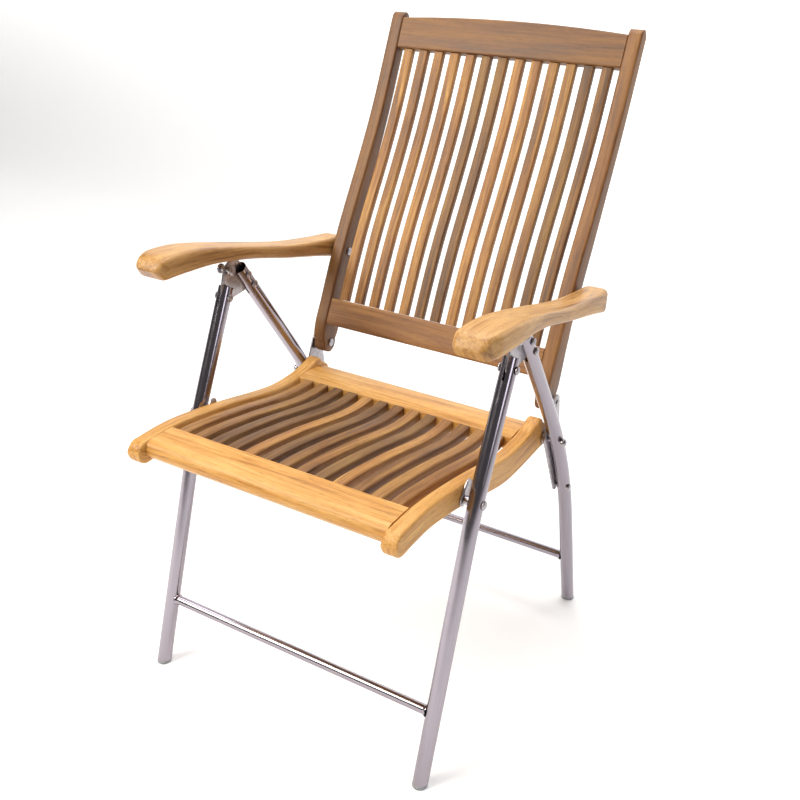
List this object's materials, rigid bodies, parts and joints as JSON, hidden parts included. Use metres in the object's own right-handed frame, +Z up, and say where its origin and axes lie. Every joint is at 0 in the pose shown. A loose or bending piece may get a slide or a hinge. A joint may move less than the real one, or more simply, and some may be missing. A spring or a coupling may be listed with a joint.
{
  "type": "folding armchair",
  "caption": "High-back folding armchair with slatted wooden seat and back, flat arms and crossed tubular steel legs; the whole chair folds flat.",
  "frame": {"origin": "centre of the overall box's base, on the floor", "axes": "+Z up; the sitter faces -Y; +X is the sitter's left"},
  "size_m": [0.6236, 0.7578, 1.0834],
  "materials": {
    "tube_steel": "polished stainless tube",
    "plate_steel": "satin stainless plate",
    "bolt_steel": "satin stainless bolts and nuts",
    "foot_plastic": "grey moulded foot plugs",
    "seat_frame_teak": "oiled golden teak",
    "slat_teak": "oiled teak, a little darker",
    "back_frame_teak": "oiled brown teak",
    "arm_teak": "oiled brown teak"
  },
  "bodies": {
    "rear_frame": {"rear_leg_left": "tube_steel", "rear_leg_right": "tube_steel", "rear_foot_left": "foot_plastic", "rear_foot_right": "foot_plastic", "gusset_left": "plate_steel", "gusset_right": "plate_steel", "hinge_plate_left": "plate_steel", "hinge_plate_right": "plate_steel", "rear_crossbar": "tube_steel"},
    "front_frame": {"front_leg_left": "tube_steel", "front_leg_right": "tube_steel", "front_foot_left": "foot_plastic", "front_foot_right": "foot_plastic", "front_crossbar": "tube_steel"},
    "seat": {"seat_side_rail_left": "seat_frame_teak", "seat_side_rail_right": "seat_frame_teak", "seat_hook_left": "plate_steel", "seat_hook_right": "plate_steel", "seat_pivot_bolt_left": "bolt_steel", "seat_pivot_bolt_right": "bolt_steel", "seat_front_rail": "seat_frame_teak", "seat_rear_rail": "seat_frame_teak", "seat_slat_01": "slat_teak", "seat_slat_02": "slat_teak", "seat_slat_03": "slat_teak", "seat_slat_04": "slat_teak", "seat_slat_05": "slat_teak", "seat_slat_06": "slat_teak", "seat_slat_07": "slat_teak", "seat_slat_08": "slat_teak", "seat_slat_09": "slat_teak", "seat_slat_10": "slat_teak", "seat_slat_11": "slat_teak", "seat_slat_12": "slat_teak", "seat_slat_13": "slat_teak"},
    "back": {"back_stile_left": "back_frame_teak", "back_stile_right": "back_frame_teak", "back_pivot_bolt_left": "bolt_steel", "back_pivot_bolt_right": "bolt_steel", "back_top_rail": "back_frame_teak", "back_bottom_rail": "back_frame_teak", "back_slat_01": "slat_teak", "back_slat_02": "slat_teak", "back_slat_03": "slat_teak", "back_slat_04": "slat_teak", "back_slat_05": "slat_teak", "back_slat_06": "slat_teak", "back_slat_07": "slat_teak", "back_slat_08": "slat_teak", "back_slat_09": "slat_teak", "back_slat_10": "slat_teak", "back_slat_11": "slat_teak", "back_slat_12": "slat_teak", "back_slat_13": "slat_teak"},
    "arms": {"arm_left": "arm_teak", "arm_right": "arm_teak", "arm_lock_rail_left": "plate_steel", "arm_lock_rail_right": "plate_steel", "arm_pivot_bolt_left": "bolt_steel", "arm_pivot_bolt_right": "bolt_steel"}
  },
  "joints": [
    {"name": "front_legs_fold", "type": "hinge", "parent": "rear_frame", "child": "front_frame", "pos_m": [0, -0.11902, 0.636], "axis": [1, 0, 0], "range_deg": [0, 48]},
    {"name": "seat_fold", "type": "hinge", "parent": "rear_frame", "child": "seat", "pos_m": [0, 0.11098, 0.43], "axis": [1, 0, 0], "range_deg": [-52.5, 0]},
    {"name": "back_fold", "type": "hinge", "parent": "rear_frame", "child": "back", "pos_m": [0, 0.13298, 0.4915], "axis": [1, 0, 0], "range_deg": [0, 50]},
    {"name": "arm_fold", "type": "hinge", "parent": "back", "child": "arms", "pos_m": [0, 0.18898, 0.66], "axis": [-1, 0, 0], "range_deg": [0, 98.4]}
  ],
  "couplings": [
    {"joint": "seat_fold", "follows": "front_legs_fold", "ratio": -1.0833},
    {"joint": "arm_fold", "follows": "back_fold", "ratio": 1.958}
  ]
}
